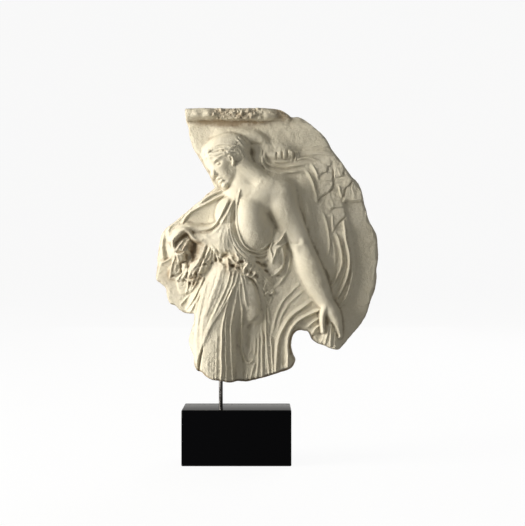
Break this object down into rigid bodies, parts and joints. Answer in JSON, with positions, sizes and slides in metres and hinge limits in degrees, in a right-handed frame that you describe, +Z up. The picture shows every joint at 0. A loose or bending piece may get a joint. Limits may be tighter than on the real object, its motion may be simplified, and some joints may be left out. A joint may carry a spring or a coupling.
{
  "type": "relief statue on plinth",
  "caption": "Cast fragment of a relief with a draped woman in a windblown cloak, held on a thin steel rod above a polished black block.",
  "frame": {"origin": "middle of the plinth's underside", "axes": "+Z up; the carved front faces -Y, so the back is at +Y; +X is to the right of someone who faces the carving"},
  "size_m": [0.2287, 0.0653, 0.3615],
  "materials": {
    "cast_stone": "matt",
    "steel": "bright",
    "black_stone": "polished"
  },
  "bodies": {
    "root": {"relief": "cast_stone", "rod": "steel", "plinth": "black_stone"}
  },
  "joints": []
}
